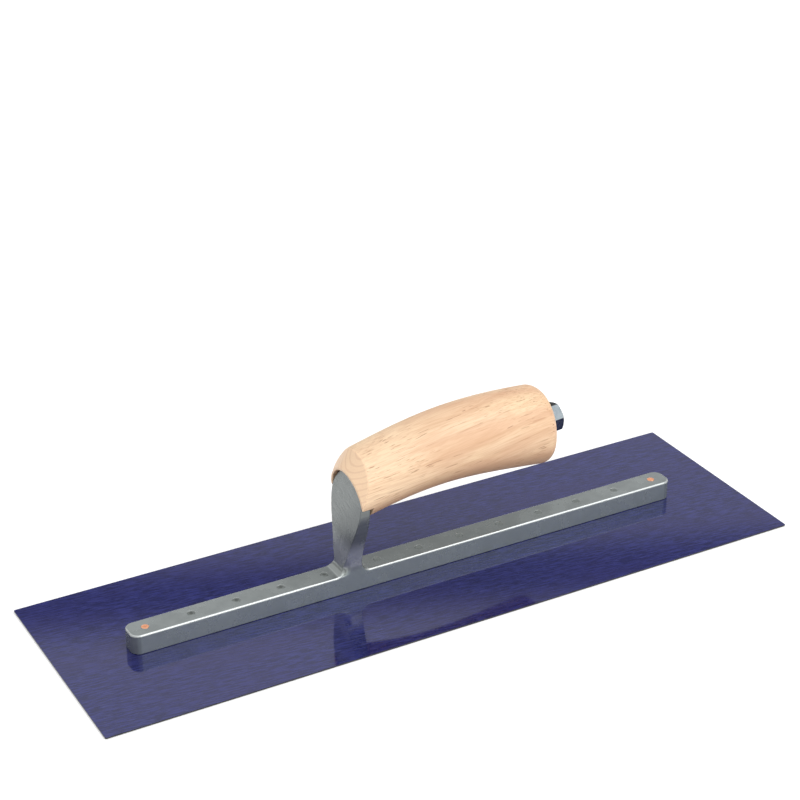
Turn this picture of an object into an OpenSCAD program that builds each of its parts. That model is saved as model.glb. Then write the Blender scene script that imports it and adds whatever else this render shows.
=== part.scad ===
// Steel finishing trowel: a thin rectangular blade, a cast alloy shank riveted along it,
// and a camel-back wooden handle drawn onto the shank's neck by a threaded rod and a nut.
// Frame: origin at the centre of the blade's working face, +X along the blade towards the
// handle's nut, +Y across the blade, +Z up. Millimetres.

/* [Blade] */
// Length of the blade along X
blade_len = 406.4; // [300:0.2:510]
// Width of the blade along Y
blade_wid = 127; // [76:0.5:153]
// Thickness of the blade
blade_t = 0.8; // [0.6:0.05:1.6]
// Radius that takes the point off each blade corner
blade_corner_r = 0.8; // [0.3:0.1:6]

/* [Shank bar] */
// Blade length left bare beyond each end of the bar
bar_margin = 38.1; // [20:0.1:50]
// Width of the bar
bar_wid = 14.2; // [12:0.1:20]
// Height of the bar above the blade
bar_h = 11.1; // [8:0.1:15]
// Radius of the bar's four upright corners
bar_corner_r = 5; // [1.2:0.1:5.5]
// Radius along the bar's top edges
bar_edge_r = 1; // [0.4:0.1:1.6]

/* [Neck] */
// Position along X of the neck's rear face
neck_back_x = -34.8; // [-60:0.1:-10]
// Thickness of the neck at the height of the rod
neck_t = 4.8; // [4:0.1:9]
// Lean of the neck's front face from upright, in degrees
neck_lean = 8; // [0:0.1:9]
// Radius of the fillet between the neck's front face and the bar
front_fillet_r = 4; // [2:0.1:6]
// Radius of the fillet between the neck's rear face and the bar
rear_fillet_r = 5; // [2:0.1:7]
// Half-width of the shield at its widest
shield_half_wid = 16.1; // [13:0.1:20]
// Distance from the rod's axis down to the shield's widest level
shield_drop = 5.6; // [3:0.1:9]
// Height of the shield's rounded top above its widest level
shield_top_h = 16.2; // [13.5:0.1:19.5]
// Diameter of the boss behind the shield
boss_d = 16; // [13.3:0.1:19.2]
// Length of the boss along the rod
boss_len = 15; // [8:0.5:25]

/* [Rivets] */
// Diameter of a rivet's shaft
rivet_d = 3.2; // [2.5:0.1:3.7]
// Diameter of a rivet's flush head
rivet_head_d = 4; // [3.8:0.1:7]
// Depth of a rivet's countersunk head
rivet_head_h = 1.4; // [0.8:0.1:2.5]
// Depth of an inner rivet's head below the bar's top
rivet_recess = 0.05; // [0.05:0.05:0.6]
// Distance from the bar's end to the outermost rivet
rivet_end = 9.525; // [6:0.1:15]
// Distance from the foot of the neck's front fillet to the nearest rivet
rivet_front_gap = 4.445; // [3:0.005:9]
// Distance from the foot of the neck's rear fillet to the nearest rivet
rivet_rear_gap = 7.575; // [3:0.005:15]

/* [Rod and nut] */
// Height of the rod's axis where it leaves the neck
rod_z = 58.1; // [50:0.1:75]
// Rise of the rod towards the rear, in degrees
rod_tilt = 5.4; // [0:0.1:7]
// Major diameter of the rod's thread
rod_d = 9.525; // [6.35:0.005:10]
// Metal left between the tapped hole and the neck's front face
rod_cover = 1.6; // [1:0.1:2.5]
// Width of the nut across its flats
nut_af = 14.29; // [12.7:0.01:16]
// Height of the nut
nut_h = 8.33; // [5:0.01:10]
// Diameter of the washer
washer_d = 20.6; // [17:0.1:24]
// Thickness of the washer
washer_t = 1.65; // [0.8:0.05:2.5]

/* [Handle] */
// Length of the handle along the rod
handle_len = 122.9; // [110:0.1:150]
// Wood beyond each side of the slot at the handle's front
cheek_wood = 2; // [1.8:0.1:4]
// Wood above the slot at the handle's front
crest_wood = 8.95; // [5:0.05:12]
// Distance from the rod's axis down to the handle's underside at the front
handle_front_drop = 15.6; // [14:0.1:18]
// Half-height of the handle at the rear
handle_rear_h = 22.2; // [20:0.1:25]
// Half-width of the handle at the rear
handle_rear_w = 19.9; // [17.5:0.1:23]
// Height of the handle's middle line above the rod at its crown
crown_lift = 7.6; // [4:0.1:9]
// Height of the handle's middle line above the rod at the rear, or below it when negative
rear_lift = -1.6; // [-4:0.1:2]
// Distance from the handle's front to its crown
crown_len = 52; // [40:0.5:70]
// Radius around the handle's rear end
handle_end_r = 9; // [4:0.1:10.5]
// Lean of the handle's rear end from square with the rod, in degrees
handle_end_lean = 4; // [0:0.1:6]
// Bulge of the handle's rear end inside that radius
handle_dome = 1.4; // [0.4:0.1:2.5]
// Depth of the washer's seat in the handle's rear end
spot_face_h = 2.6; // [1.8:0.1:4]
// Depth of the bevel around the nose
nose_bevel = 6.6; // [3:0.1:7]
// Wood left around the slot where the bevel ends
nose_rim = 1.4; // [0.6:0.1:1.6]
// Distance by which the wood stands proud of the shield at the rod
nose_proud = 0.75; // [0.1:0.05:1.5]
// Distance from the rod's axis down to the foot of the cheeks
cheek_drop = 4; // [3:0.1:5]
// Gap between the neck's rear face and the slot's rear wall
slot_relief = 1.6; // [0.5:0.1:3]

/* [Fits] */
// Gap between the shield and the slot around it
slot_clear = 0.3; // [0.1:0.05:0.8]
// Radial gap between the boss and its socket in the wood
boss_clear = 0.3; // [0.1:0.05:0.8]
// Radial gap between the rod and its hole in the wood
rod_clear = 0.4; // [0.1:0.05:1]
// Radial gap between threaded or riveted pieces and their holes
thread_clear = 0.03; // [0.01:0.01:0.1]
// Radial gap between the washer and its seat, and inside the washer
washer_clear = 0.4; // [0.2:0.05:1]

/* [Hidden] */

// Overlap that carries a cut cleanly past the face it starts from
cut_past = 1;
// Number of straight pieces in a quarter turn of a small drawn radius
arc_steps = 8;
// Number of straight pieces in the shield's side and in half of its rounded top
side_steps = 20;
top_steps = 24;
// Number of points around one section of the handle
ring_points = 48;
// Number of facets around a hole, rod, rivet or washer
round_fn = 64;
// Overlap that joins a rivet's shaft to its head
shaft_lap = 0.1;

// Shank levels and lengths
bar_len = blade_len - 2 * bar_margin;
bar_top = blade_t + bar_h;
shield_z = rod_z - shield_drop;
shield_top = shield_z + shield_top_h;
// Centres of the fillets between neck and bar
front_fillet_z = bar_top + front_fillet_r;
front_fillet_x = neck_front_x(front_fillet_z) - front_fillet_r;
rear_fillet_z = bar_top + rear_fillet_r;
rear_fillet_x = neck_back_x + rear_fillet_r;
// Level below which the neck is as narrow as the bar
neck_root_rise = 4;
neck_root_z = bar_top + neck_root_rise;
// Depth to which the neck is sunk in the bar
neck_sink = 4;

// Rivet rows: one ahead of the neck and one behind it
front_rivets = 5;
rear_rivets = 8;
front_row_end = front_fillet_x - rivet_front_gap;
front_row_start = -bar_len / 2 + rivet_end;
rear_row_start = rear_fillet_x + rivet_rear_gap;
rear_row_end = bar_len / 2 - rivet_end;

// Distances along the rod's axis from the neck's rear face
rod_front_s = -neck_t / cos(rod_tilt) + rod_cover;
handle_front_s = -(neck_t + nose_proud) * cos(rod_tilt);
handle_end_s = handle_front_s + handle_len;
spot_face_s = handle_end_s - spot_face_h;
nut_seat_s = spot_face_s + washer_t;
nut_end_s = nut_seat_s + nut_h;

// Rim of the nose: an arc round the shield's top with the wood left around it
nose_grow = slot_clear + nose_rim;
nose_centre = -shield_drop * cos(rod_tilt) + (neck_t + nose_proud) * sin(rod_tilt);

// Half-width, half-height and middle line of the handle's front, built round the slot
front_top = nose_centre + shield_top_h + slot_clear + crest_wood;
handle_front_w = shield_half_wid + slot_clear + cheek_wood;
handle_front_h = (front_top + handle_front_drop) / 2;
front_lift = (front_top - handle_front_drop) / 2;

// Slope of the handle's middle line at its front and at its rear
front_slope = 0.16;
rear_slope = -0.19;
// Squareness of the handle's oval section, where 2 is an ellipse
section_power = 2.1;
// Number of sections along the handle's body and around its rear edge
body_rings = 14;
end_rings = 5;
// Distance from the bevel's deepest point to the first plain section
ridge_gap = 1;
// Distance from the handle's side in to the small flat in the middle of its rear end
end_flat_inset = (handle_rear_w + handle_end_r) / 2;

// Distance from the rod's end back to the nut's end face
rod_end_inset = 0.5;
rod_chamfer = 0.8;
nut_chamfer = 1.1;
// Distance inside the flats at which the nut's chamfer meets its end face
nut_face_inset = 0.2;
// Turn of the nut's hexagon about the rod, in degrees
nut_turn = 15;

// Front face of the neck at height z
function neck_front_x(z) = neck_back_x - neck_t + (z - rod_z) * tan(neck_lean);

// Points on an arc about c, from angle a0 to angle a1
function arc_points(c, r, a0, a1, steps) =
    [for (i = [0:steps]) c + r * [cos(a0 + (a1 - a0) * i / steps), sin(a0 + (a1 - a0) * i / steps)]];

// A value that eases from 0 to 1 and is level at both ends
function ease_both(t) = (1 - cos(180 * t)) / 2;
function mix(a, b, t) = a + (b - a) * t;

// Cubic from height z0 to z1 over length l, with slopes m0 and m1 at its ends
function cubic(z0, z1, m0, m1, l, t) =
    z0 * (1 - 3 * t * t + 2 * t * t * t) + z1 * (3 * t * t - 2 * t * t * t)
    + l * m0 * t * (1 - t) * (1 - t) + l * m1 * t * t * (t - 1);

// Right-hand side of the shield, from its foot to its top, grown outwards by g
function shield_side(g) = concat(
    [for (i = [0:side_steps])
        let (t = i / side_steps)
        [g + mix(bar_wid / 2, shield_half_wid, ease_both(t)), mix(neck_root_z, shield_z, t)]],
    [for (i = [1:top_steps])
        let (a = 90 * i / top_steps)
        [(shield_half_wid + g) * cos(a), shield_z + (shield_top_h + g) * sin(a)]]
);

// Whole outline of the neck seen from the front, carried down to height foot
function shield_outline(g, foot) = let (side = shield_side(g), last = len(side) - 1) concat(
    [[bar_wid / 2 + g, foot]],
    side,
    [for (i = [last - 1:-1:0]) [-side[i][0], side[i][1]]],
    [[-bar_wid / 2 - g, foot]]
);

// Places a child along the rod's axis, s behind the neck's rear face, with +Z to the rear
module on_rod(s) {
    translate([neck_back_x, 0, rod_z])
        rotate([0, 90 - rod_tilt, 0])
            translate([0, 0, s])
                children();
}

// Extrudes an outline drawn in Y and Z along X, from x0 to x1
module along_x(x0, x1) {
    translate([x0, 0, 0])
        rotate([90, 0, 90])
            linear_extrude(x1 - x0)
                children();
}

// Extrudes an outline drawn in X and Z across Y, by half to each side
module across_y(half) {
    rotate([90, 0, 0])
        linear_extrude(2 * half, center = true)
            children();
}

// Rectangle a by b about the origin with rounded corners
module rounded_rectangle(a, b, r) {
    corners = [[1, 1], [-1, 1], [-1, -1], [1, -1]];
    points = [for (i = [0:3]) each arc_points(
        [corners[i][0] * (a / 2 - r), corners[i][1] * (b / 2 - r)], r, 90 * i, 90 * i + 90, arc_steps)];
    polygon(points);
}

// Outline with square feet on level z0 and rounded shoulders under level z1
module shouldered_outline(half, z0, z1, r) {
    polygon(concat(
        [[-half, z0], [half, z0]],
        arc_points([half - r, z1 - r], r, 0, 90, arc_steps),
        arc_points([r - half, z1 - r], r, 90, 180, arc_steps)
    ));
}

// Blade: a flat plate with its corner points taken off
module blade() {
    color([0.25, 0.25, 0.45])
        linear_extrude(blade_t)
            rounded_rectangle(blade_len, blade_wid, blade_corner_r);
}

// Bar of the shank, with rounded corners and top edges
module bar() {
    intersection() {
        along_x(-bar_len / 2 - cut_past, bar_len / 2 + cut_past)
            shouldered_outline(bar_wid / 2, blade_t, bar_top, bar_edge_r);
        across_y(bar_wid)
            shouldered_outline(bar_len / 2, blade_t, bar_top, bar_edge_r);
        translate([0, 0, blade_t - cut_past])
            linear_extrude(bar_h + 2 * cut_past)
                rounded_rectangle(bar_len, bar_wid, bar_corner_r);
    }
}

// Side view of the neck, with a fillet to the bar ahead of it and behind it
module neck_side() {
    top_z = shield_top + cut_past;
    polygon(concat(
        [[front_fillet_x, bar_top - neck_sink], [rear_fillet_x, bar_top - neck_sink]],
        arc_points([rear_fillet_x, rear_fillet_z], rear_fillet_r, 270, 180, arc_steps),
        [[neck_back_x, top_z], [neck_front_x(top_z), top_z]],
        arc_points([front_fillet_x, front_fillet_z], front_fillet_r, 0, -90, arc_steps)
    ));
}

// Neck and its shield-shaped front
module neck() {
    intersection() {
        across_y(shield_half_wid + cut_past)
            neck_side();
        along_x(-bar_len / 2, bar_len / 2)
            polygon(shield_outline(0, blade_t));
    }
}

// Position along X of rivet number i, counted from 1 at the front
function rivet_x(i) = i <= front_rivets
    ? mix(front_row_start, front_row_end, (i - 1) / (front_rivets - 1))
    : mix(rear_row_start, rear_row_end, (i - front_rivets - 1) / (rear_rivets - 1));

// An outermost rivet lies flush, and the others lie a little below the bar's top
function rivet_top(i) =
    i == 1 || i == front_rivets + rear_rivets ? bar_top : bar_top - rivet_recess;

// Rivet or the hole for it, grown by g and carried up to level top
module rivet_shape(i, g, top) {
    head_foot_z = rivet_top(i) - rivet_head_h;
    translate([rivet_x(i), 0, blade_t]) {
        cylinder(h = head_foot_z - blade_t + shaft_lap, d = rivet_d + 2 * g, $fn = round_fn);
        translate([0, 0, head_foot_z - blade_t])
            cylinder(h = top - head_foot_z, d = rivet_head_d + 2 * g, $fn = round_fn);
    }
}

// Shank: bar, neck and boss in one casting, bored for the rivets and the rod
module shank() {
    color([0.62, 0.65, 0.66])
        difference() {
            union() {
                bar();
                neck();
                on_rod(-neck_t / 2)
                    cylinder(h = neck_t / 2 + boss_len, d = boss_d, $fn = round_fn);
            }
            for (i = [1:front_rivets + rear_rivets])
                rivet_shape(i, thread_clear, bar_top + cut_past);
            on_rod(rod_front_s)
                cylinder(h = boss_len - rod_front_s + cut_past, d = rod_d + 2 * thread_clear, $fn = round_fn);
        }
}

// One rivet, fixed to the blade's upper face and ending at the bar's top
module rivet(i) {
    copper = [0.80, 0.50, 0.36];
    steel = [0.42, 0.43, 0.43];
    color(rivet_top(i) == bar_top ? copper : steel)
        rivet_shape(i, 0, rivet_top(i));
}

// Point on the handle's oval section of half-width w and half-height h, at angle a
function oval(w, h, a) = [
    w * sign(cos(a)) * pow(abs(cos(a)), 2 / section_power),
    h * sign(sin(a)) * pow(abs(sin(a)), 2 / section_power)
];

// Height of the handle's middle line above the rod, l behind the handle's front
function middle_lift(l) = l < crown_len
    ? cubic(front_lift, crown_lift, front_slope, 0, crown_len, l / crown_len)
    : cubic(crown_lift, rear_lift, 0, rear_slope, handle_len - crown_len,
        (l - crown_len) / (handle_len - crown_len));

// Point of the handle's section l behind its front, drawn in by inset, as [across, above the rod]
function section_point(l, inset, a) =
    let (
        t = ease_both(l / handle_len),
        w = mix(handle_front_w, handle_rear_w, t) - inset,
        h = mix(handle_front_h, handle_rear_h, t) - inset,
        p = oval(w, h, a)
    )
    [p[0], middle_lift(l) + p[1]];

// A point in the frame of on_rod, from its height above the rod and its distance s
function rod_point(p, s) = [-p[1], p[0], s];

// One section of the handle, square with the rod at the front and leaning more towards the rear
function handle_ring(l, inset) =
    let (lean = tan(handle_end_lean) * l / handle_len)
    [for (i = [0:ring_points - 1])
        let (p = section_point(l, inset, 360 * i / ring_points))
        rod_point(p, handle_front_s + l + lean * p[1])];

// Rim of the nose, square with the rod
nose_ring =
    [for (i = [0:ring_points - 1])
        let (a = 360 * i / ring_points)
        rod_point(
            [(shield_half_wid + nose_grow) * cos(a), nose_centre + (shield_top_h + nose_grow) * sin(a)],
            handle_front_s)];

// Ridge where the nose's bevel meets the handle's body, as deep as the bevel is wide up to a limit
ridge_ring =
    [for (i = [0:ring_points - 1])
        let (
            p = section_point(nose_bevel, 0, 360 * i / ring_points),
            bevel_wid = norm(p - [0, nose_centre]) - shield_top_h - nose_grow
        )
        rod_point(p, handle_front_s + min(max(bevel_wid, slot_clear), nose_bevel))];

// Body of the handle before it is slotted and bored
module handle_blank() {
    first_len = nose_bevel + ridge_gap;
    body_len = handle_len - handle_end_r;
    rings = concat(
        [nose_ring, ridge_ring],
        [for (i = [0:body_rings]) handle_ring(mix(first_len, body_len, i / body_rings), 0)],
        [for (i = [1:end_rings])
            let (a = 90 * i / end_rings)
            handle_ring(body_len + (handle_end_r - handle_dome) * sin(a), handle_end_r * (1 - cos(a)))],
        [handle_ring(handle_len, end_flat_inset)]
    );
    count = len(rings);
    n = ring_points;
    skin = [for (r = [0:count - 2], i = [0:n - 1])
        let (j = (i + 1) % n)
        each [
            [r * n + i, (r + 1) * n + i, (r + 1) * n + j],
            [r * n + i, (r + 1) * n + j, r * n + j]
        ]];
    front_cap = [[for (i = [0:n - 1]) i]];
    rear_cap = [[for (i = [n - 1:-1:0]) (count - 1) * n + i]];
    on_rod(0)
        polyhedron(points = [for (ring = rings) each ring], faces = concat(skin, front_cap, rear_cap));
}

// Handle: the wooden grip, slotted for the shield and bored for boss, rod and washer
module handle() {
    slot_back_x = neck_back_x + slot_relief;
    // The slot's cuts start ahead of the whole handle
    slot_front_x = neck_back_x + handle_front_s - handle_front_h;
    color([0.93, 0.78, 0.60])
        difference() {
            handle_blank();
            along_x(slot_front_x, slot_back_x)
                polygon(shield_outline(slot_clear, blade_t));
            translate([slot_front_x, -handle_front_w - cut_past, blade_t])
                cube([slot_back_x - slot_front_x, 2 * (handle_front_w + cut_past),
                    rod_z - cheek_drop - blade_t]);
            on_rod(0)
                cylinder(h = boss_len + slot_relief, d = boss_d + 2 * boss_clear, $fn = round_fn);
            on_rod(0)
                cylinder(h = handle_end_s + cut_past, d = rod_d + 2 * rod_clear, $fn = round_fn);
            on_rod(spot_face_s)
                cylinder(h = handle_len, d = washer_d + 2 * washer_clear, $fn = round_fn);
        }
}

// Rod screwed into the boss, with a chamfer at its rear end
module tie_rod() {
    rod_len = nut_end_s - rod_end_inset - rod_front_s;
    color([0.70, 0.72, 0.74])
        on_rod(rod_front_s) {
            cylinder(h = rod_len - rod_chamfer, d = rod_d, $fn = round_fn);
            translate([0, 0, rod_len - rod_chamfer])
                cylinder(h = rod_chamfer, d1 = rod_d, d2 = rod_d - 2 * rod_chamfer, $fn = round_fn);
        }
}

// Plain washer between the wood and the nut
module washer() {
    color([0.70, 0.72, 0.74])
        on_rod(spot_face_s)
            difference() {
                cylinder(h = washer_t, d = washer_d, $fn = round_fn);
                translate([0, 0, -cut_past])
                    cylinder(h = washer_t + 2 * cut_past, d = rod_d + 2 * washer_clear, $fn = round_fn);
            }
}

// Hexagon nut with its outer corners chamfered
module hex_nut() {
    nut_r = nut_af / 2 / cos(30);
    color([0.78, 0.81, 0.84])
        on_rod(nut_seat_s)
            difference() {
                intersection() {
                    rotate([0, 0, nut_turn])
                        cylinder(h = nut_h, r = nut_r, $fn = 6);
                    union() {
                        cylinder(h = nut_h - nut_chamfer, r = nut_r + nut_chamfer, $fn = round_fn);
                        translate([0, 0, nut_h - nut_chamfer])
                            cylinder(h = nut_chamfer, r1 = nut_r + nut_chamfer,
                                r2 = nut_af / 2 - nut_face_inset, $fn = round_fn);
                    }
                }
                translate([0, 0, -cut_past])
                    cylinder(h = nut_h + 2 * cut_past, d = rod_d + 2 * thread_clear, $fn = round_fn);
            }
}

blade();
shank();
handle();
tie_rod();
washer();
hex_nut();
for (i = [1:front_rivets + rear_rivets])
    rivet(i);
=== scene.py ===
import math

import bpy
import numpy as np
from mathutils import Matrix, Vector


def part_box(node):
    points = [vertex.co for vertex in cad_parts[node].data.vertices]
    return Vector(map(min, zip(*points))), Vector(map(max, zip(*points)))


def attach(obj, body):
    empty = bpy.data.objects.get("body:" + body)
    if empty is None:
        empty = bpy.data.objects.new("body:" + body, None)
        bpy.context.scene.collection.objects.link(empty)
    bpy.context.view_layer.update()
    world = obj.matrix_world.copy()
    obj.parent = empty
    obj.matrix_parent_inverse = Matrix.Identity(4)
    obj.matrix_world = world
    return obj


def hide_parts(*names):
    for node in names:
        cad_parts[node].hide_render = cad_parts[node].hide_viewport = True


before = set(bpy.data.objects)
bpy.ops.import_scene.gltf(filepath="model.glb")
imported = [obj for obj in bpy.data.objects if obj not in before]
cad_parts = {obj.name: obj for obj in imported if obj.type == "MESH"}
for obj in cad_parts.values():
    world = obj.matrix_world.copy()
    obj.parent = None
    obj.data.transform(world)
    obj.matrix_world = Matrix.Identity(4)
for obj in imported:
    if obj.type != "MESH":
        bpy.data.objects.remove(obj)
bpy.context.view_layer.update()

# The finishing trowel's looks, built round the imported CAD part. Shapes are written in millimetres in
# the CAD frame, and every finished mesh is in metres.
MM = 0.001


def cad_box_mm(node):
    low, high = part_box(node)
    return np.array(low) / MM, np.array(high) / MM


# ---------------------------------------------------------------------------------------------
# Sizes in millimetres, most of them the CAD source's, and angles in radians. An S is a distance along
# the rod from the neck's rear face.
# ---------------------------------------------------------------------------------------------
BLADE_HIGH = cad_box_mm("blade")[1]
BLADE_T = BLADE_HIGH[2]
BLADE_CORNER_R = 0.8
BLADE_EDGE_R = 0.06

BAR_HALF_LEN = cad_box_mm("shank")[1][0]
BAR_HALF_WID = 7.1
BAR_TOP = 11.9
BAR_CORNER_R = 5.0
BAR_EDGE_R, BASE_EDGE_R = 1.0, 0.2
BAR_END_X = 100.0

NECK_BACK_X = -34.8
NECK_T = 4.8
NECK_LEAN = math.radians(8)
FRONT_FILLET_R, REAR_FILLET_R = 4.0, 5.0
NECK_ROOT_Z = 15.9
FOOT_TOP_Z, FOOT_RUN, FOOT_DEPTH, FOOT_PINCH = 22.5, 6.5, 5.0, 2.1
SHIELD_Z = 52.5
SHIELD_HALF_WID = 16.1
SHIELD_TOP_H = 16.2
FINE_EDGE_R = 0.3
REAR_EDGE_R, REAR_EDGE_TOP_Z, REAR_EDGE_RUN = 0.8, 30.0, 14.0

ROD_Z = 58.1
ROD_TILT = math.radians(5.4)
ROD_R = 9.525 / 2
THREAD_PITCH = 25.4 / 16
BOSS_R = 8.0
BOSS_LEN = 15.0
BOSS_ROOT_S = -2.4
BOSS_EDGE_R, BOSS_FILLET_R = 0.8, 0.9
THREAD_DEPTH = 0.85
THREAD_GAP, CREST_GAP = 0.03, 0.05
ROD_THREAD_SHARE = 0.8
ROD_CHAMFER = 0.9

FRONT_S = -5.525
HANDLE_LEN = 122.9
CROWN_LEN = 52.0
FRONT_LIFT, CROWN_LIFT, REAR_LIFT = 2.4, 7.6, -1.6
FRONT_SLOPE, REAR_SLOPE = 0.16, -0.19
FRONT_W, REAR_W = 18.4, 19.9
FRONT_H, REAR_H = 18.0, 22.2
SECTION_POWER = 2.1
END_R = 9.0
END_LEAN = math.tan(math.radians(4))
END_DOME, END_DOME_SHARE = 1.4, 0.55
END_EDGE_R = 2.0
NOSE_CENTRE = -5.05
NOSE_R = 17.8
BEVEL_TOP_EASE = 0.12
RIDGE_R, RIDGE_R_BELOW = 0.35, 1.65
SHOULDER_TURN = math.radians(40)
SHOULDER_SHARE = 1.06
SHOULDER_EDGE_R = 1.0
SLOT_BACK_X = -33.2
SLOT_CLEAR = 0.3
CHEEK_FOOT_Z = 54.1
CHEEK_EDGE_R = 0.5
BOSS_SOCKET_R = 8.3
BOSS_SOCKET_END = 16.6
ROD_HOLE_R = ROD_R + 0.4
SPOT_FACE_R = 10.7
SPOT_FACE_S = FRONT_S + HANDLE_LEN - 2.6

WASHER_R, WASHER_T = 10.3, 1.65
WASHER_BORE_R = ROD_R + 0.4
NUT_AF, NUT_H = 14.29, 8.33
NUT_CHAMFER = math.radians(60)
NUT_EDGE_R, NUT_BORE_EDGE_R = 0.15, 0.1
NUT_SEAT_S = SPOT_FACE_S + WASHER_T
NUT_TURN = math.radians(15)
ROD_FRONT_S = -3.22
ROD_END_S = NUT_SEAT_S + NUT_H - 0.5
ROD_THREADED_LEN = 27.0

RIVET_PITCH = 25.4
RIVET_X = [-155.575 + RIVET_PITCH * i for i in range(5)] + [-22.225 + RIVET_PITCH * i for i in range(8)]
RIVET_R, RIVET_HEAD_R, RIVET_HEAD_H = 1.6, 2.0, 1.4
RIVET_RECESS = 0.05
RIVET_HOLE_DEPTH, RIVET_HOLE_EDGE_R = 2.5, 0.08
RIVET_DISH_R, RIVET_DISH, RIVET_EDGE = 1.3, 0.05, 0.04


# ---------------------------------------------------------------------------------------------
# Distance fields: below 0 inside the metal or wood, above 0 outside
# ---------------------------------------------------------------------------------------------
def both(a, b, r):
    """What a and b share, with a radius r along the edge between them."""
    return np.minimum(np.maximum(a, b), -r) + np.hypot(np.maximum(a + r, 0), np.maximum(b + r, 0))


def either(a, b, r):
    """a and b together, with a fillet of radius r between them."""
    return np.maximum(np.minimum(a, b), r) - np.hypot(np.maximum(r - a, 0), np.maximum(r - b, 0))


def rounded_rectangle(x, y, half_x, half_y, r):
    qx, qy = np.abs(x) - half_x + r, np.abs(y) - half_y + r
    return np.hypot(np.maximum(qx, 0), np.maximum(qy, 0)) + np.minimum(np.maximum(qx, qy), 0) - r


def rod_frame(x, y, z):
    """Distance s along the rod, y, and height v above the rod."""
    dx, dz = x - NECK_BACK_X, z - ROD_Z
    c, s = math.cos(ROD_TILT), math.sin(ROD_TILT)
    return dx * c + dz * s, y, dz * c - dx * s


def ease(t):
    t = np.clip(t, 0, 1)
    return (1 - np.cos(np.pi * t)) / 2


def shield_outline(y, z):
    """Outline of the neck and shield seen from the front."""
    t = (z - NECK_ROOT_Z) / (SHIELD_Z - NECK_ROOT_Z)
    half = BAR_HALF_WID + (SHIELD_HALF_WID - BAR_HALF_WID) * ease(t)
    run = SHIELD_Z - NECK_ROOT_Z
    grow = (SHIELD_HALF_WID - BAR_HALF_WID) / run * np.pi / 2 * np.sin(np.pi * np.clip(t, 0, 1))
    side = (np.abs(y) - half) / np.hypot(1, grow)
    top = np.hypot(y, (z - SHIELD_Z) * SHIELD_HALF_WID / SHIELD_TOP_H) - SHIELD_HALF_WID
    return np.where(z > SHIELD_Z, top, side)


def shank_edge_radius(x, z):
    """Radius along the casting's edges: fine round the shield and down the front, wider on the bar."""
    rear = FINE_EDGE_R + (REAR_EDGE_R - FINE_EDGE_R) * ease((REAR_EDGE_TOP_Z - z) / REAR_EDGE_RUN)
    neck = np.where(x < NECK_BACK_X - NECK_T, FINE_EDGE_R, rear)
    return BAR_EDGE_R + (neck - BAR_EDGE_R) * ease((z - BAR_TOP) / FRONT_FILLET_R)


def foot_pinch(depth, z):
    """Narrowing of the neck's foot towards its front face, depth behind that face."""
    level = ease((FOOT_TOP_Z - z) / FOOT_RUN) * ease((z - BAR_TOP + 1) / 6)
    behind = np.clip(1 - depth / FOOT_DEPTH, 0, 1) ** 2
    return FOOT_PINCH * level * np.where(depth > 0, behind, ease(1 + depth / FRONT_FILLET_R))


def shank_field(x, y, z):
    """The casting: bar, neck, shield and boss, with the holes for the rod and the rivets."""
    front_x = NECK_BACK_X - NECK_T + (z - ROD_Z) * math.tan(NECK_LEAN)
    neck = both((front_x - x) * math.cos(NECK_LEAN), x - NECK_BACK_X, FINE_EDGE_R)
    fillet_r = np.where(x < NECK_BACK_X - NECK_T, FRONT_FILLET_R, REAR_FILLET_R)
    side_view = either(z - BAR_TOP, neck, fillet_r)
    plan = rounded_rectangle(x, y, BAR_HALF_LEN, BAR_HALF_WID, BAR_CORNER_R)
    outline = np.where(np.abs(x) > BAR_END_X, plan, shield_outline(y, z))
    outline = outline + foot_pinch(x - front_x, z)
    body = both(side_view, outline, shank_edge_radius(x, z))
    body = both(body, BLADE_T - z, BASE_EDGE_R)
    s, _, v = rod_frame(x, y, z)
    boss = both(np.hypot(y, v) - BOSS_R, s - BOSS_LEN, BOSS_EDGE_R)
    boss = np.maximum(boss, BOSS_ROOT_S - s)
    body = either(body, boss, BOSS_FILLET_R)
    tapped = np.maximum(np.hypot(y, v) - ROD_R - THREAD_GAP, ROD_FRONT_S - s)
    body = both(body, -tapped, FINE_EDGE_R)
    nearest = np.min([np.abs(x - rx) for rx in RIVET_X], axis=0)
    hole = np.maximum(np.hypot(nearest, y) - RIVET_HEAD_R - THREAD_GAP, BAR_TOP - RIVET_HOLE_DEPTH - z)
    return both(body, -hole, RIVET_HOLE_EDGE_R)


def hermite(z0, z1, slope0, slope1, run, t):
    """A cubic from z0 to z1 over a run, with the slopes at its ends."""
    t2, t3 = t * t, t * t * t
    return (z0 * (1 - 3 * t2 + 2 * t3) + z1 * (3 * t2 - 2 * t3)
            + run * slope0 * t * (1 - t) ** 2 + run * slope1 * t2 * (t - 1))


def middle_lift(l):
    """Height of the grip's middle above the rod: up to the crown, then down to the rear."""
    rear_len = HANDLE_LEN - CROWN_LEN
    front_t = np.clip(l, 0, CROWN_LEN) / CROWN_LEN
    rear_t = np.clip(l - CROWN_LEN, 0, rear_len) / rear_len
    front = hermite(FRONT_LIFT, CROWN_LIFT, FRONT_SLOPE, 0, CROWN_LEN, front_t)
    rear = hermite(CROWN_LIFT, REAR_LIFT, 0, REAR_SLOPE, rear_len, rear_t)
    return np.where(l < CROWN_LEN, front, rear)


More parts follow.
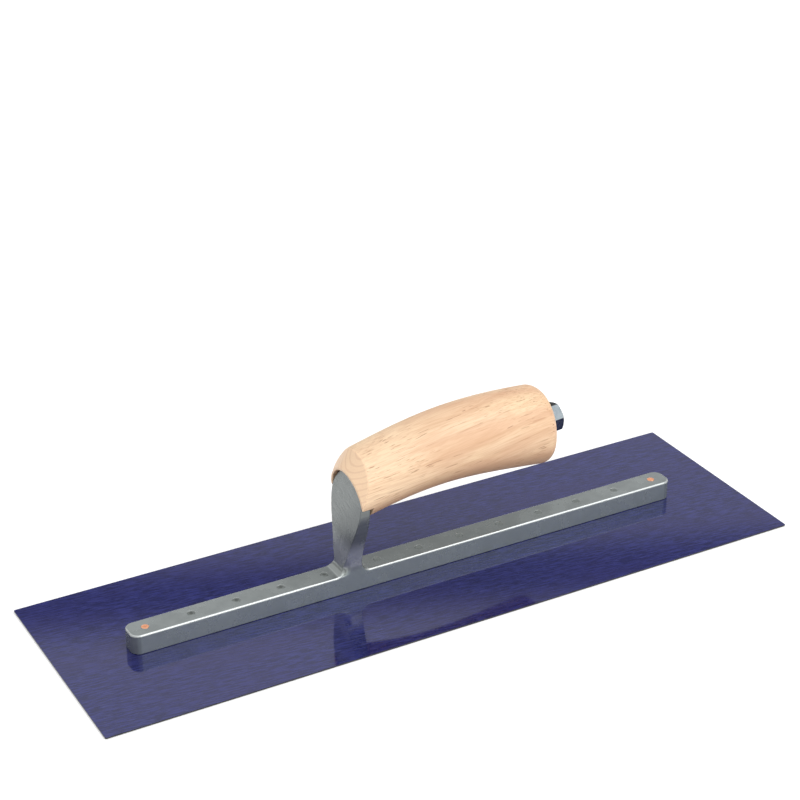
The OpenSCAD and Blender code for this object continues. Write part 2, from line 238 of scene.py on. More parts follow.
def handle_field(x, y, z):
    """The wooden grip: a superellipse section swept along the rod, w and h its half-width and half-height."""
    s, y, v = rod_frame(x, y, z)
    l = (s - FRONT_S) / (1 + END_LEAN * v / HANDLE_LEN)
    t = ease(l / HANDLE_LEN)
    w = FRONT_W + (REAR_W - FRONT_W) * t
    h = FRONT_H + (REAR_H - FRONT_H) * t
    ay, av = np.abs(y) / w, np.abs(v - middle_lift(l)) / h
    q = (ay ** SECTION_POWER + av ** SECTION_POWER + 1e-9) ** (1 / SECTION_POWER)
    slope = q ** (1 - SECTION_POWER) * np.hypot(ay ** (SECTION_POWER - 1) / w, av ** (SECTION_POWER - 1) / h)
    side = (q - 1) / np.maximum(slope, 1e-3)
    # The rear end: an arc round the edge, then a shallow dome
    turn = np.clip((l - (HANDLE_LEN - END_R)) / (END_R - END_DOME), 0, 0.999)
    inset = END_R * (1 - np.sqrt(1 - turn * turn))
    steep = END_R / (END_R - END_DOME) * turn / np.sqrt(1 - turn * turn)
    body = (side + inset) / np.hypot(1, steep)
    dome = l - HANDLE_LEN + END_DOME * np.minimum((q / END_DOME_SHARE) ** 2, 2)
    body = both(body, dome, END_EDGE_R)
    # The nose: a bevel from the rim round the slot back to the ridge
    beyond = np.hypot(y, v - NOSE_CENTRE)
    share = 1 - BEVEL_TOP_EASE * ease((v - NOSE_CENTRE) / np.maximum(beyond, 1))
    bevel = (share * (beyond - NOSE_R) - (s - FRONT_S)) / np.hypot(share, 1)
    ridge_r = RIDGE_R + (RIDGE_R_BELOW - RIDGE_R) * ease((2 - v) / 14)
    body = both(body, bevel, ridge_r)
    # The bevel's far shoulder, a flatter facet
    across = y * np.sin(SHOULDER_TURN) + (v - NOSE_CENTRE) * np.cos(SHOULDER_TURN)
    facet = (SHOULDER_SHARE * (across - NOSE_R) - (s - FRONT_S)) / np.hypot(SHOULDER_SHARE, 1)
    body = both(body, facet, SHOULDER_EDGE_R)
    body = both(body, FRONT_S - s, FINE_EDGE_R)
    # The slot for the shield, open below, and the bores
    slot = np.maximum(shield_outline(y, z) - SLOT_CLEAR, x - SLOT_BACK_X)
    body = both(body, -slot, FINE_EDGE_R)
    body = both(body, -np.maximum(x - SLOT_BACK_X, z - CHEEK_FOOT_Z), CHEEK_EDGE_R)
    reach = np.hypot(y, v)
    body = both(body, -np.maximum(reach - BOSS_SOCKET_R, s - BOSS_SOCKET_END), FINE_EDGE_R)
    body = both(body, -(reach - ROD_HOLE_R), FINE_EDGE_R)
    return both(body, -np.maximum(reach - SPOT_FACE_R, SPOT_FACE_S - s), CHEEK_EDGE_R)


def thread_ridge(angle, s):
    """Height of a screw thread's ridge, from 0 at the root to 1 at the crest."""
    turn = (s / THREAD_PITCH - angle / (2 * np.pi)) % 1
    return np.clip(1.25 - np.abs(turn - 0.5) * 3, 0, 1)


def nut_field(s, y, v):
    """The nut in the rod's frame, with s from its seat."""
    angle, reach = np.arctan2(y, v), np.hypot(y, v)
    sector = (angle - NUT_TURN + np.pi / 6) % (np.pi / 3) - np.pi / 6
    flats = reach * np.cos(sector) - NUT_AF / 2
    middle = NUT_H / 2
    ends = np.abs(s - middle) - middle
    cone = (reach - NUT_AF / 2 - 0.1) * math.cos(NUT_CHAMFER) + ends * math.sin(NUT_CHAMFER)
    body = both(flats, ends, NUT_EDGE_R)
    body = both(body, cone, NUT_EDGE_R)
    bore = reach - ROD_R - CREST_GAP + THREAD_DEPTH * (1 - thread_ridge(angle, s))
    return both(body, -bore, NUT_BORE_EDGE_R)


# ---------------------------------------------------------------------------------------------
# Meshes
# ---------------------------------------------------------------------------------------------
def gradient(field, p, h=0.02):
    """The field's slope at each point of p, by differences over 2 h."""
    ends = []
    for axis in range(3):
        d = np.zeros(3)
        d[axis] = h
        ends.append((field(*(p + d).T) - field(*(p - d).T)) / (2 * h))
    return np.stack(ends, 1)


def surface_of(field, low, high, step, block=16):
    """Mesh of the surface where field is 0: vertices, quads and outward normals."""
    margin = 2.37 * step  # Not a whole number, so flat faces miss the grid's points
    low, high = np.asarray(low, float) - margin, np.asarray(high, float) + margin
    count = np.ceil((high - low) / (step * block)).astype(int)
    blocks = np.stack(np.meshgrid(*[np.arange(c) for c in count], indexing="ij"), -1).reshape(-1, 3)
    centre = low + (blocks + 0.5) * block * step
    near = np.abs(field(*centre.T)) < 1.5 * block * step
    corners = blocks[near] * block
    local = np.stack(np.meshgrid(*[np.arange(block + 1)] * 3, indexing="ij"), -1)
    size = count * block + 2
    keys, hits = [], []
    batch = 128
    for first in range(0, len(corners), batch):
        index = corners[first:first + batch, None, None, None, :] + local
        at = low + step * index
        value = field(at[..., 0], at[..., 1], at[..., 2])
        here = value[:, :-1, :-1, :-1]
        start = index[:, :-1, :-1, :-1]
        beside = value[:, 1:, :-1, :-1], value[:, :-1, 1:, :-1], value[:, :-1, :-1, 1:]
        for axis, there in enumerate(beside):
            crossed = (here < 0) != (there < 0)
            a, b, cell = here[crossed], there[crossed], start[crossed]
            hit = low + step * cell
            hit[:, axis] += step * a / (a - b)
            ring = []
            for du, dv in ((0, 0), (-1, 0), (-1, -1), (0, -1)):
                c = cell + 1
                c[:, (axis + 1) % 3] += du
                c[:, (axis + 2) % 3] += dv
                ring.append((c[:, 0] * size[1] + c[:, 1]) * size[2] + c[:, 2])
            ring = np.stack(ring, 1)
            ring[a >= 0] = ring[a >= 0][:, ::-1]
            keys.append(ring)
            hits.append(hit)
    keys, hits = np.concatenate(keys), np.concatenate(hits)
    found, quads = np.unique(keys, return_inverse=True)
    quads = quads.reshape(-1, 4)
    share = np.bincount(quads.ravel(), minlength=len(found))
    points = np.stack([
        np.bincount(quads.ravel(), np.repeat(hits[:, i], 4), minlength=len(found)) / share
        for i in range(3)], 1)
    newton_steps = 4
    for _ in range(newton_steps):
        g = gradient(field, points)
        move = field(*points.T)[:, None] * g / np.maximum((g * g).sum(1, keepdims=True), 0.05)
        length = np.linalg.norm(move, axis=1, keepdims=True)
        points -= move * np.minimum(1, 0.7 * step / np.maximum(length, 1e-9))
    normals = gradient(field, points)
    normals /= np.maximum(np.linalg.norm(normals, axis=1, keepdims=True), 1e-9)
    return points, quads, normals


def from_rod_axes(directions):
    """Directions given along (s, y, v), in the CAD frame."""
    c, s = math.cos(ROD_TILT), math.sin(ROD_TILT)
    along, across, up = directions.T
    return np.stack([along * c - up * s, across, along * s + up * c], 1)


def from_rod_frame(points):
    """Points given as (s, y, v), in the CAD frame."""
    return from_rod_axes(points) + (NECK_BACK_X, 0, ROD_Z)


def strip(rows, n, closed=False):
    """Quads between rows of n points that each run round a loop."""
    last = rows if closed else rows - 1
    return [(i * n + j, i * n + (j + 1) % n, (i + 1) % rows * n + (j + 1) % n, (i + 1) % rows * n + j)
            for i in range(last) for j in range(n)]


def lathe(profile, steps):
    """A closed profile of (radius, height) turned about the height axis, as (height, across, across)."""
    profile = np.asarray(profile, float)
    n = len(profile)
    a = 2 * np.pi * np.arange(steps) / steps
    r, h = profile[:, 0], profile[:, 1]
    points = np.stack([
        np.repeat(h[None], steps, 0).ravel(),
        (np.cos(a)[:, None] * r).ravel(),
        (np.sin(a)[:, None] * r).ravel()], 1)
    return points, strip(steps, n, closed=True)


def link(thing):
    bpy.context.scene.collection.objects.link(thing)


def add_piece(name, points, faces, material, nodes, normals=None):
    """A mesh piece that rides on the body and stands for CAD nodes."""
    mesh = bpy.data.meshes.new(name)
    faces = faces.tolist() if isinstance(faces, np.ndarray) else faces
    mesh.from_pydata((np.asarray(points) * MM).tolist(), [], faces)
    mesh.validate()
    mesh.update()
    mesh.polygons.foreach_set("use_smooth", [True] * len(mesh.polygons))
    if normals is not None:
        mesh.normals_split_custom_set_from_vertices(np.asarray(normals).tolist())
    mesh.materials.append(material)
    piece = bpy.data.objects.new(name, mesh)
    link(piece)
    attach(piece, "root")
    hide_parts(*nodes)
    return piece


# ---------------------------------------------------------------------------------------------
# Materials
# ---------------------------------------------------------------------------------------------
class Nodes:
    """The nodes of one tree, under construction."""

    def __init__(self, tree):
        self.tree = tree

    def put(self, socket, value):
        if isinstance(value, bpy.types.NodeSocket):
            self.tree.links.new(value, socket)
        else:
            socket.default_value = value

    def node(self, kind, out=None, **inputs):
        """A new node, or its output named out, with its settings and inputs by name."""
        made = self.tree.nodes.new(kind)
        for key, value in inputs.items():
            if hasattr(made, key):
                setattr(made, key, value)
        for key, value in inputs.items():
            if not hasattr(made, key):
                self.put(made.inputs[key.replace("_", " ")], value)
        return made if out is None else made.outputs[out]

    def split(self, vector):
        return self.node("ShaderNodeSeparateXYZ", Vector=vector).outputs

    def math(self, operation, a, b=0.0):
        made = self.node("ShaderNodeMath", operation=operation)
        self.put(made.inputs[0], a)
        self.put(made.inputs[1], b)
        return made.outputs[0]

    def times(self, first, *rest):
        return self.math("MULTIPLY", first, rest[0] if len(rest) == 1 else self.times(*rest))

    def span(self, value, low, high, to_low=0.0, to_high=1.0):
        """value from low..high eased onto to_low..to_high, held at both ends."""
        made = self.node("ShaderNodeMapRange", interpolation_type="SMOOTHSTEP")
        names = "Value", "From Min", "From Max", "To Min", "To Max"
        for key, v in zip(names, (value, low, high, to_low, to_high)):
            self.put(made.inputs[key], v)
        return made.outputs[0]


class Paint(Nodes):
    """A surface material under construction."""

    def __init__(self, name):
        self.material = bpy.data.materials.new(name)
        self.material.use_nodes = True
        super().__init__(self.material.node_tree)
        self.tree.nodes.clear()
        self.shader = self.node("ShaderNodeBsdfPrincipled")
        self.node("ShaderNodeOutputMaterial", Surface=self.shader.outputs[0])
        coordinates = self.node("ShaderNodeTexCoord").outputs
        self.where, self.outward = coordinates["Object"], coordinates["Normal"]

    def set(self, **inputs):
        for key, value in inputs.items():
            self.put(self.shader.inputs[key.replace("_", " ")], value)

    def space(self, size, turn=(0, 0, 0), shift=(0, 0, 0), vector=None):
        """Coordinates, the object's if not given, in units of size (metres). The axes they're
        measured along are moved by shift and turned by turn (degrees)."""
        return self.node("ShaderNodeMapping", 0, vector_type="TEXTURE",
                         Vector=self.where if vector is None else vector,
                         Location=shift, Rotation=[math.radians(t) for t in turn], Scale=size)

    def noise(self, vector, detail=3.0, rough=0.5):
        return self.node("ShaderNodeTexNoise", "Fac", Vector=vector, Scale=1.0, Detail=detail,
                         Roughness=rough)

    def mix(self, share, a, b):
        """Colour a with a share of colour b over it."""
        made = self.node("ShaderNodeMix", data_type="RGBA")
        self.put(made.inputs["Factor"], share)
        self.put(made.inputs["A"], rgb(a))
        self.put(made.inputs["B"], rgb(b))
        return made.outputs["Result"]

    def bump(self, height, distance, strength, under=None):
        made = self.node("ShaderNodeBump", Strength=strength, Distance=distance, Height=height)
        if under is not None:
            self.put(made.inputs["Normal"], under)
        return made.outputs[0]


def rgb(colour):
    """An (r, g, b) of 0 to 255 display values as linear RGBA; a socket passes through."""
    if isinstance(colour, bpy.types.NodeSocket):
        return colour
    shown = [c / 255 for c in colour]
    linear = [c / 12.92 if c <= 0.04045 else ((c + 0.055) / 1.055) ** 2.4 for c in shown]
    return (*linear, 1.0)


def blued_steel():
    """Steel with a blue temper colour, streaked lengthwise by its grinding, under a clear coat."""
    p = Paint("blued_steel")
    turn = (0, 0, -6.5)
    streak = p.noise(p.space((0.0095, 0.0010, 1), turn), detail=2.0)
    fine = p.noise(p.space((0.0045, 0.0006, 1), turn, (0.3, 0.1, 0)), detail=1.0)
    broad = p.noise(p.space((0.09, 0.03, 1), turn, (0.11, 0.04, 0)), detail=2.0)
    colour = p.mix(p.span(streak, 0.42, 0.60), (15, 20, 78), (38, 43, 112))
    colour = p.mix(p.span(fine, 0.56, 0.70, 0, 0.4), colour, (66, 70, 132))
    colour = p.mix(p.span(broad, 0.35, 0.7, 0, 0.4), colour, (36, 33, 92))
    cut_edge = p.span(p.split(p.where)["Z"], 0.00078, 0.00072)
    colour = p.mix(cut_edge, colour, (16, 16, 22))
    lines = p.math("ADD", p.times(streak, 0.6), p.times(fine, 0.4))
    p.set(Base_Color=colour, Metallic=0.35, Roughness=p.span(fine, 0.3, 0.7, 0.26, 0.36),
          Specular_IOR_Level=0.0, Coat_Weight=1.0, Coat_Roughness=0.05, Coat_IOR=1.52,
          Normal=p.bump(lines, 0.00005, 0.6))
    return p.material


def cast_alloy():
    """A cast bar, plain on its faces and bright along its edges, with a ground neck and shield, and with
    painted light and shade over its near side, top, front fillet, neck and shield.
    """
    p = Paint("cast_alloy")
    x, y, z = (p.split(p.where)[axis] for axis in "XYZ")
    facing = p.split(p.outward)
    pits = p.noise(p.space((0.0011, 0.0011, 0.0011)), detail=4.0, rough=0.65)
    cloud = p.noise(p.space((0.011, 0.011, 0.011)), rough=0.55)
    grind = p.noise(p.space((0.02, 0.008, 0.0005), (24, 0, 0)), rough=0.6)
    tone = p.mix(p.span(cloud, 0.3, 0.7), (139, 145, 145), (150, 156, 156))
    tone = p.mix(p.span(pits, 0.42, 0.3, 0, 0.3), tone, (104, 108, 107))
    # The neck and shield: grinding marks, painted shade darker low down, and painted light paler again at the
    # foot
    ground = p.span(z, 0.0150, 0.0165)
    level = p.math("ADD", z, p.times(y, 0.9))
    for share, colour in (
            (p.span(grind, 0.52, 0.36, 0, 0.45), (100, 105, 106)),
            (p.span(grind, 0.56, 0.70, 0, 0.4), (184, 189, 189)),
            (0.4, (108, 110, 107)),
            # Painted shade: darker below a slanting line low on the neck and shield
            (p.span(level, 0.052, 0.038, 0, 0.4), (84, 89, 92)),
            # Painted light: paler again at the foot
            (p.span(z, 0.035, 0.024, 0, 0.6), (196, 200, 202))):
        tone = p.mix(p.times(ground, share), tone, colour)
    # The bar: painted light on its near side, painted shade along the middle of its top, painted light on the
    # front fillet, and its worn edges
    # Painted light: the near side, paler than the rest of the bar
    side = p.times(p.span(facing["Y"], -0.80, -0.95), p.span(z, 0.0150, 0.0125))
    # Painted shade over the middle of the bar's top, below the handle and neck
    painted_top_shade = p.times(p.times(p.span(x, -0.125, -0.02), p.span(x, 0.150, 0.03)),
                      p.span(facing["Z"], 0.9, 0.99), p.span(z, 0.0130, 0.0122))
    # Painted light on the front fillet, paler than the bar
    fillet = p.times(p.span(x, -0.0440, -0.0450), p.span(z, 0.0121, 0.0128), p.span(z, 0.0160, 0.0152))
    worn = p.times(p.times(p.span(facing["Z"], 0.10, 0.30), p.span(facing["Z"], 0.985, 0.93)),
                   p.span(z, 0.0102, 0.0110), p.span(z, 0.0124, 0.0119))
    for place, share, colour in (
            (side, 0.45, (168, 180, 174)),
            (painted_top_shade, 0.5, (88, 93, 91)),
            (fillet, 0.25, (190, 194, 190)),
            (worn, 0.7, (208, 212, 212))):
        tone = p.mix(p.times(place, share), tone, colour)
    rough = p.math("SUBTRACT", p.span(cloud, 0.3, 0.7, 0.23, 0.29), p.times(worn, 0.08))
    bump = p.bump(pits, 0.00004, 0.15, p.bump(p.times(ground, grind), 0.00005, 0.25))
    p.set(Base_Color=tone, Metallic=0.65, Roughness=rough, Normal=bump)
    return p.material


def handle_wood():
    """Pale wood with its grain along the grip, pores as dark flecks, and end grain on the bevel."""
    p = Paint("handle_wood")
    grain = p.space((1, 1, 1), (0, -8, 0))
    wander = p.node("ShaderNodeTexNoise", "Color", Vector=p.space((0.11, 0.025, 0.025), vector=grain),
                    Scale=1.0, Detail=2.0)
    bend = p.node("ShaderNodeVectorMath", operation="MULTIPLY_ADD")
    for socket, value in zip(bend.inputs, (wander, (0, 0.008, 0.008), grain)):
        p.put(socket, value)
    wavy = bend.outputs[0]
    # Growth: broad bands, rings, and paler patches, most of all where the front is worn smooth
    band = p.noise(p.space((0.07, 0.008, 0.008), vector=wavy), detail=2.0)
    rings = p.node("ShaderNodeTexWave", "Fac", wave_type="RINGS", rings_direction="X", wave_profile="SAW",
                   Vector=p.space((1.6, 1, 1), shift=(0, -0.036, -0.02), vector=wavy),
                   Scale=38.0, Distortion=1.2, Detail=2.0, Detail_Scale=1.5)
    glow = p.noise(p.space((0.045, 0.017, 0.017), shift=(0.1, 0.1, 0), vector=grain), detail=2.0)
    at = p.split(p.where)
    polished = p.times(p.span(at["X"], 0.010, -0.020), p.span(at["Z"], 0.045, 0.062))
    colour = p.mix(p.span(band, 0.3, 0.7), (231, 199, 164), (219, 179, 144))
    colour = p.mix(p.span(rings, 0.55, 1.0, 0, 0.35), colour, (196, 149, 114))
    colour = p.mix(p.span(glow, 0.54, 0.70, 0, 0.4), colour, (238, 210, 168))
    colour = p.mix(p.times(polished, 0.5), colour, (250, 224, 188))
    # Fibres, dark lines and clustered pores
    fibre = p.noise(p.space((0.017, 0.0007, 0.0007), vector=wavy), rough=0.6)
    line = p.noise(p.space((0.028, 0.0008, 0.0008), shift=(0.03, 0.02, 0), vector=wavy), detail=2.0)
    fleck = p.noise(p.space((0.0120, 0.0006, 0.0006), shift=(0.02, 0, 0), vector=wavy), detail=1.0, rough=0.4)
    cluster = p.noise(p.space((0.028, 0.007, 0.007), shift=(0.05, 0.01, 0), vector=grain), detail=1.0)
    flecks = p.times(p.span(fleck, 0.635, 0.70), p.span(cluster, 0.40, 0.56))
    colour = p.mix(p.span(fibre, 0.60, 0.38, 0, 0.30), colour, (198, 150, 112))
    colour = p.mix(p.span(line, 0.60, 0.72, 0, 0.5), colour, (186, 132, 96))
    colour = p.mix(p.times(flecks, 0.7), colour, (160, 108, 76))
    # Painted shade on the underside, then the end grain on the bevel
    facing = p.split(p.outward)
    colour = p.mix(p.span(facing["Z"], -0.10, -0.6, 0, 0.75), colour, (184, 144, 112))
    arcs = p.node("ShaderNodeTexWave", "Fac", wave_type="RINGS", rings_direction="X",
                  Vector=p.space((1, 1, 1), shift=(0, -0.004, 0.090), vector=grain),
                  Scale=105.0, Distortion=2.5, Detail=2.0, Detail_Scale=0.6)
    end_colour = p.mix(p.span(arcs, 0.72, 0.95, 0, 0.28), (254, 219, 183), (212, 160, 122))
    colour = p.mix(p.times(p.span(facing["X"], -0.38, -0.52), 0.8), colour, end_colour)
    bump = p.bump(p.math("SUBTRACT", 1.0, flecks), 0.0002, 0.3, p.bump(fibre, 0.00008, 0.15))
    p.set(Base_Color=colour, Roughness=p.span(fibre, 0.3, 0.7, 0.52, 0.42), Coat_Weight=0.12,
          Coat_Roughness=0.3, Normal=bump)
    return p.material


def plated_steel():
    """Zinc-plated steel, faintly blotched, with drawing lines along the rod."""
    p = Paint("plated_steel")
    blot = p.noise(p.space((0.0024, 0.0024, 0.0024)), rough=0.6)
    line = p.noise(p.space((0.0014, 0.0003, 0.0003), (0, -math.degrees(ROD_TILT), 0)), detail=2.0, rough=0.6)
    tone = p.mix(p.span(blot, 0.35, 0.65), (99, 106, 110), (110, 116, 120))
    p.set(Base_Color=tone, Metallic=1.0, Roughness=p.span(blot, 0.3, 0.7, 0.16, 0.24),
          Normal=p.bump(line, 0.00001, 0.15))
    return p.material


def rivet_metal(name, light, dark, dimple_shade, dimple_shade_share, roughness):
    """Turned metal with painted shade darkening the shallow dish in the middle of each head, which is found
    from the rivets' pitch.
    """
    p = Paint(name)
    at = p.split(p.where)
    along = p.math("PINGPONG", p.math("SUBTRACT", at["X"], RIVET_X[0] * MM), RIVET_PITCH * MM / 2)
    apart = p.math("SQRT", p.math("ADD", p.math("POWER", along, 2.0), p.math("POWER", at["Y"], 2.0)))
    blot = p.noise(p.space((0.0011, 0.0011, 0.0011)), rough=0.6)
    tone = p.mix(p.span(blot, 0.35, 0.65), light, dark)
    # Painted shade in the middle of each head, over its shallow dish
    tone = p.mix(p.span(apart, 0.0018, 0.0003, 0, dimple_shade_share), tone, dimple_shade)
    p.set(Base_Color=tone, Metallic=0.72, Roughness=roughness, Normal=p.bump(blot, 0.00006, 0.3))
    return p.material


def band_material(name, stops):
    """A studio card whose brightness follows stops of (height, brightness), fading out at its edges."""
    material = bpy.data.materials.new(name)
    material.use_nodes = True
    n = Nodes(material.node_tree)
    n.tree.nodes.clear()
    at = n.split(n.node("ShaderNodeTexCoord", "Object"))
    (low, bright_low), (dark_from, dark), (dark_to, _), (high, bright_high) = stops
    below = n.span(at["Y"], low, dark_from, bright_low, dark)
    above = n.span(at["Y"], dark_to, high, 0.0, bright_high - dark)
    light = n.node("ShaderNodeEmission", Strength=n.math("ADD", below, above))
    clear = n.node("ShaderNodeBsdfTransparent")
    shown = None
    for axis, solid in (("X", 0.8), ("Y", 0.65)):
        for side in (-1, 1):
            fade = n.span(at[axis], side * solid, side, 1.0, 0.0)
            shown = fade if shown is None else n.times(shown, fade)
    mix = n.node("ShaderNodeMixShader")
    for socket, value in zip(mix.inputs, (shown, clear.outputs[0], light.outputs[0])):
        n.put(socket, value)
    n.node("ShaderNodeOutputMaterial", Surface=mix.outputs[0])
    return material


# ---------------------------------------------------------------------------------------------
# Pieces
# ---------------------------------------------------------------------------------------------
def build_blade():
    """The plate, with its sheared edges just broken."""
    r = BLADE_CORNER_R
    half_x, half_y = BLADE_HIGH[0] - r, BLADE_HIGH[1] - r
    levels = [(BLADE_EDGE_R * (1 - math.sin(a)), BLADE_EDGE_R * (1 - math.cos(a)))
              for a in np.linspace(0, math.pi / 2, 4)]
    rows = levels + [(inset, BLADE_T - z) for inset, z in reversed(levels)]
    outline = []
    for k, (side_x, side_y) in enumerate(((1, 1), (-1, 1), (-1, -1), (1, -1))):
        for a in np.linspace(k * math.pi / 2, (k + 1) * math.pi / 2, 6):
            outline.append((side_x * half_x, side_y * half_y, math.cos(a), math.sin(a)))
    n = len(outline)
    points = [(x + (r - inset) * c, y + (r - inset) * s, z) for inset, z in rows for x, y, c, s in outline]
    faces = strip(len(rows), n)
    faces.append(list(range(n))[::-1])
    faces.append([(len(rows) - 1) * n + i for i in range(n)])
    piece = add_piece("blade_plate", points, faces, blued_steel(), ["blade"])
    for flat in (len(faces) - 1, len(faces) - 2):
        piece.data.polygons[flat].use_smooth = False


def build_shank():
    points, quads, normals = surface_of(shank_field, *cad_box_mm("shank"), step=0.45)
    add_piece("shank_casting", points, quads, cast_alloy(), ["shank"], normals)


def build_handle():
    points, quads, normals = surface_of(handle_field, *cad_box_mm("handle"), step=0.55)
    add_piece("handle_grip", points, quads, handle_wood(), ["handle"], normals)


def build_nut(metal):
    half = NUT_AF / 2 / math.cos(math.pi / 6)
    points, quads, normals = surface_of(nut_field, (0, -half, -half), (NUT_H, half, half), step=0.2)
    points[:, 0] += NUT_SEAT_S
    add_piece("hex_nut_plated", from_rod_frame(points), quads, metal, ["hex_nut"],
              from_rod_axes(normals))


def build_washer(metal):
    """A stamped washer, rounder on the punched side."""
    hole, r, t = WASHER_BORE_R, WASHER_R, WASHER_T
    edge, nick = 0.25, 0.07
    profile = [(hole + edge, 0), (r - edge, 0), (r - nick, nick), (r, edge),
               (r, t - edge), (r - 0.1, t - 0.08), (r - 1.8 * edge, t), (hole + edge, t),
               (hole + nick, t - nick), (hole, t - edge), (hole, edge), (hole + nick, nick)]
    points, faces = lathe(profile, 96)
    points[:, 0] += SPOT_FACE_S
    add_piece("washer_plated", from_rod_frame(points), [f[::-1] for f in faces], metal,
              ["washer"])


def build_rod(metal):
    """The threaded rod, with a rolled thread at both ends and a plain middle."""
    steps, per_pitch = 40, 12
    s = np.append(np.arange(ROD_FRONT_S, ROD_END_S, THREAD_PITCH / per_pitch), ROD_END_S)
    angles = 2 * np.pi * np.arange(steps) / steps
    grid_s, grid_a = np.meshgrid(s, angles, indexing="ij")
    from_end = np.minimum(grid_s - ROD_FRONT_S, ROD_END_S - grid_s)
    threaded = ease((ROD_THREADED_LEN - from_end) / 2)
    depth = THREAD_DEPTH * ROD_THREAD_SHARE
    drop = depth * (1 - thread_ridge(grid_a, grid_s - NUT_SEAT_S)) * threaded
    chamfer = ROD_R - ROD_CHAMFER + from_end
    r = np.minimum(ROD_R - CREST_GAP - drop, chamfer)
    points = np.stack([grid_s.ravel(), (r * np.sin(grid_a)).ravel(), (r * np.cos(grid_a)).ravel()], 1)
    faces = [face[1:] + face[:1] for face in strip(len(s), steps)]
    faces.append(list(range(steps))[::-1])
    faces.append([(len(s) - 1) * steps + j for j in range(steps)])
    add_piece("tie_rod_threaded", from_rod_frame(points), faces, metal, ["tie_rod"])


def build_rivets():
    """The flush rivets; the outermost two are copper-coloured."""
    copper = rivet_metal("rivet_copper", (248, 184, 142), (236, 160, 122), (186, 108, 78), 0.30, 0.36)
    steel = rivet_metal("rivet_steel", (126, 132, 130), (115, 121, 119), (60, 63, 62), 0.7, 0.34)
    for number, x in enumerate(RIVET_X, 1):
        outer = number in (1, len(RIVET_X))
        metal, slot = (copper, "rivet_copper") if outer else (steel, "rivet_steel")
        top = BAR_TOP - (0.0 if outer else RIVET_RECESS) - 0.01
        profile = [(RIVET_R, BLADE_T), (RIVET_R, top - RIVET_HEAD_H), (RIVET_HEAD_R, top - RIVET_HEAD_H),
                   (RIVET_HEAD_R, top - RIVET_EDGE), (RIVET_HEAD_R - RIVET_EDGE, top)]
        profile += [(RIVET_DISH_R * math.cos(a), top - RIVET_DISH * math.sin(a))
                    for a in np.linspace(0, math.pi / 2 - 0.001, 6)]
        profile.append((0.001, BLADE_T))
        points, faces = lathe(profile, 40)
        placed = np.stack([points[:, 1] + x, points[:, 2], points[:, 0]], 1)
        node = "rivet_%d" % number
        add_piece(node + "_turned", placed, [f[::-1] for f in faces], metal, [node])


build_blade()
build_shank()
build_handle()
bright = plated_steel()
build_nut(bright)
build_washer(bright)
build_rod(bright)
build_rivets()


# ---------------------------------------------------------------------------------------------
# Camera, floor and light
# ---------------------------------------------------------------------------------------------
def toward(azimuth, elevation):
    """The direction at an azimuth clockwise from +Y and an elevation, in radians."""
    return Vector((math.sin(azimuth) * math.cos(elevation), math.cos(azimuth) * math.cos(elevation),
                   math.sin(elevation)))


def point(thing, direction, axis):
    """Turn a camera or lamp so that its axis points along direction."""
    thing.rotation_mode = "QUATERNION"
    thing.rotation_quaternion = direction.to_track_quat(axis, "Y")


def square(name, half, material):
    """A square of the given half-width, flat at the origin."""
    mesh = bpy.data.meshes.new(name)
    mesh.from_pydata([(-half, -half, 0), (half, -half, 0), (half, half, 0), (-half, half, 0)], [],
                     [(0, 1, 2, 3)])
    mesh.materials.append(material)
    made = bpy.data.objects.new(name, mesh)
    link(made)
    return made


def add_camera():
    """The view from the front left, 27 degrees above the blade."""
    data = bpy.data.cameras.new("camera")
    data.lens = 91.54
    data.sensor_width = 36
    data.clip_start, data.clip_end = 0.01, 50
    camera = bpy.data.objects.new("camera", data)
    link(camera)
    camera.location = (-0.46539, -0.81494, 0.57671)
    point(camera, toward(math.radians(29.289), -math.radians(26.876)), "-Z")
    bpy.context.scene.camera = camera


def add_floor():
    """A pale floor, a hair under the blade, that glows a little so that it stays white."""
    p = Paint("floor")
    p.set(Base_Color=(0.8, 0.8, 0.8, 1), Roughness=0.9, Specular_IOR_Level=0.0,
          Emission_Color=(1, 1, 1, 1), Emission_Strength=0.25)
    floor = square("floor", 12.0, p.material)
    floor.location = (0, 0, -0.0003)


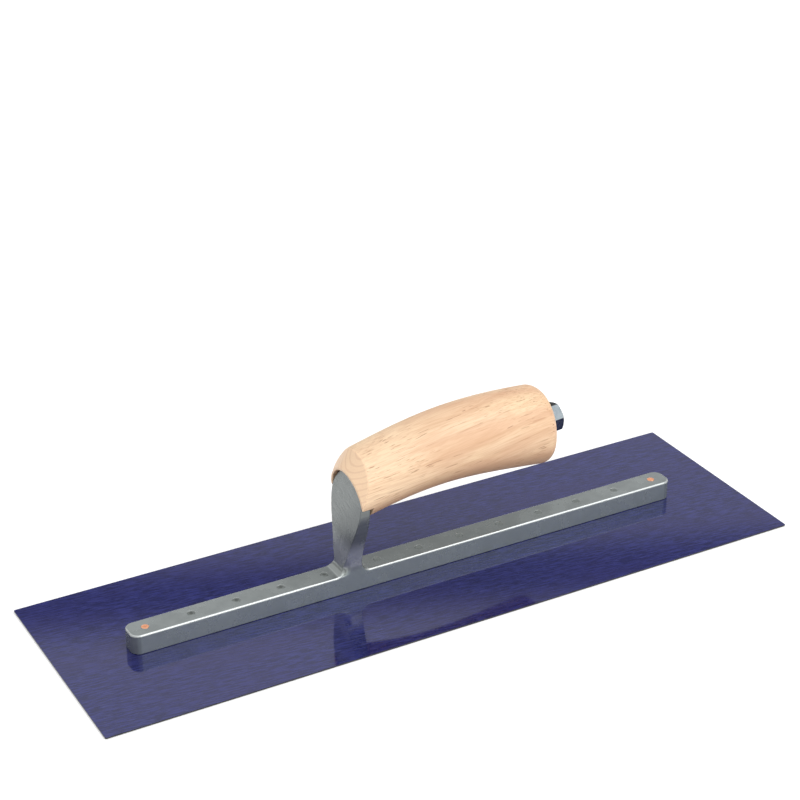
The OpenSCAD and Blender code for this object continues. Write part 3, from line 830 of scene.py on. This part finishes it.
def add_band_card():
    """A far card with a soft dark band across it, which the blade mirrors."""
    azimuth, elevation, roll = math.radians(29), math.radians(32.2), math.radians(-3.5)
    distance, half_turn, half_rise = 20.0, math.radians(25), math.radians(6.5)
    stops = [(-0.231, 0.71), (-0.069, 0.16), (0.004, 0.16), (0.211, 0.97)]
    card = square("band_card", 1, band_material("band_card", stops))
    away = toward(azimuth, elevation)
    across = Vector((math.cos(azimuth), -math.sin(azimuth), 0))
    up = across.cross(away)
    right = across * math.cos(roll) + up * math.sin(roll)
    rise = up * math.cos(roll) - across * math.sin(roll)
    columns = right * distance * math.tan(half_turn), rise * distance * math.tan(half_rise), right.cross(rise)
    card.matrix_world = Matrix(columns).transposed().to_4x4()
    card.location = away * distance


def add_softbox(name, azimuth, elevation, distance, size, power):
    """A soft lamp facing the origin; angles in degrees, metres and watts."""
    data = bpy.data.lights.new(name, "AREA")
    data.shape = "RECTANGLE"
    data.size, data.size_y = size
    data.energy = power
    lamp = bpy.data.objects.new(name, data)
    away = toward(math.radians(azimuth), math.radians(elevation))
    lamp.location = away * distance
    point(lamp, away, "Z")
    link(lamp)


def add_sky():
    """A soft white studio: dark at the horizon, bright above it, and a broad glow high in front."""
    world = bpy.data.worlds.new("sky")
    world.use_nodes = True
    n = Nodes(world.node_tree)
    where = n.node("ShaderNodeTexCoord", "Generated")
    height = n.split(where)["Z"]
    dot = n.node("ShaderNodeVectorMath", operation="DOT_PRODUCT")
    n.put(dot.inputs[0], where)
    n.put(dot.inputs[1], toward(math.radians(165), math.radians(55)))
    inner, outer = math.radians(30), math.radians(46)
    glow = n.span(dot.outputs["Value"], math.cos(outer), math.cos(inner), 0.0, 0.45)
    low = n.span(height, 0.18, 0.26, 0.06, 0.95)
    middle = n.span(height, 0.33, 0.42, 0.0, -0.24)
    high = n.span(height, 0.54, 0.64, 0.0, 0.22)
    strength = n.math("ADD", n.math("ADD", n.math("ADD", low, middle), high), glow)
    background = world.node_tree.nodes["Background"]
    n.put(background.inputs["Strength"], strength)
    background.inputs["Color"].default_value = (1, 1, 1, 1)
    bpy.context.scene.world = world


add_camera()
add_floor()
add_sky()
add_softbox("key", 148, 54, 1.8, (1.4, 1.1), 9)
add_softbox("fill", 160, 22, 2.5, (1.6, 1.0), 8)
add_band_card()
bpy.context.scene.view_settings.view_transform = "Standard"
